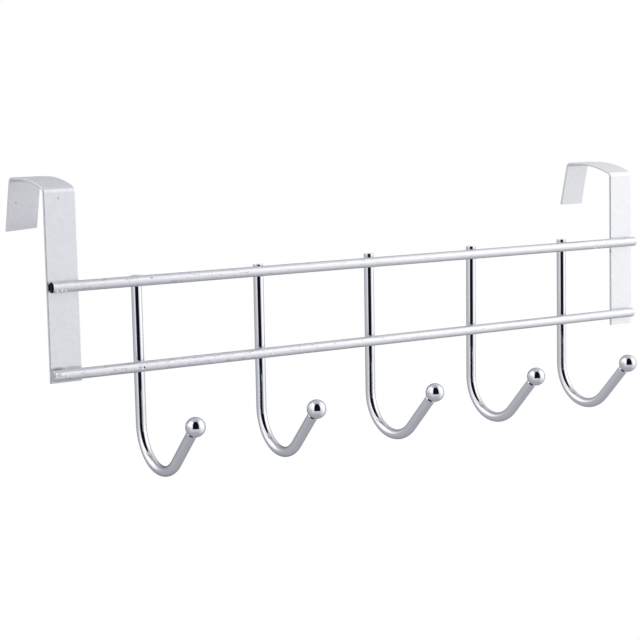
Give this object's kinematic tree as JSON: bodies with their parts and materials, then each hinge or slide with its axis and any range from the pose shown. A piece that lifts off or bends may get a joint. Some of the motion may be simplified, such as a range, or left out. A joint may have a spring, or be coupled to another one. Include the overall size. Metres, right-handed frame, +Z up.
{
  "type": "coat hook rail",
  "caption": "Over-door coat rail: round plated rails carrying chrome J hooks with ball tips, hung by folded steel strips that sit over the top of a door.",
  "frame": {"origin": "middle of the door's top front edge: midway between the inner corners of the two strips, on the plane of the strips' door-side faces", "axes": "+X along the rails, to the right as seen from the room; +Y from the room to the door; +Z up"},
  "size_m": [0.411, 0.1104, 0.1569],
  "materials": {
    "plated_rail": "semi-bright plated drawn steel bar",
    "satin_strip": "satin plated cold-rolled strip",
    "hook_chrome": "bright chrome on bent wire",
    "ball_chrome": "bright chrome on a steel ball"
  },
  "bodies": {
    "root": {"top_rail": "plated_rail", "bottom_rail": "plated_rail", "left_door_bracket": "satin_strip", "right_door_bracket": "satin_strip", "hook_1": "hook_chrome", "ball_tip_1": "ball_chrome", "hook_2": "hook_chrome", "ball_tip_2": "ball_chrome", "hook_3": "hook_chrome", "ball_tip_3": "ball_chrome", "hook_4": "hook_chrome", "ball_tip_4": "ball_chrome", "hook_5": "hook_chrome", "ball_tip_5": "ball_chrome"}
  },
  "joints": []
}
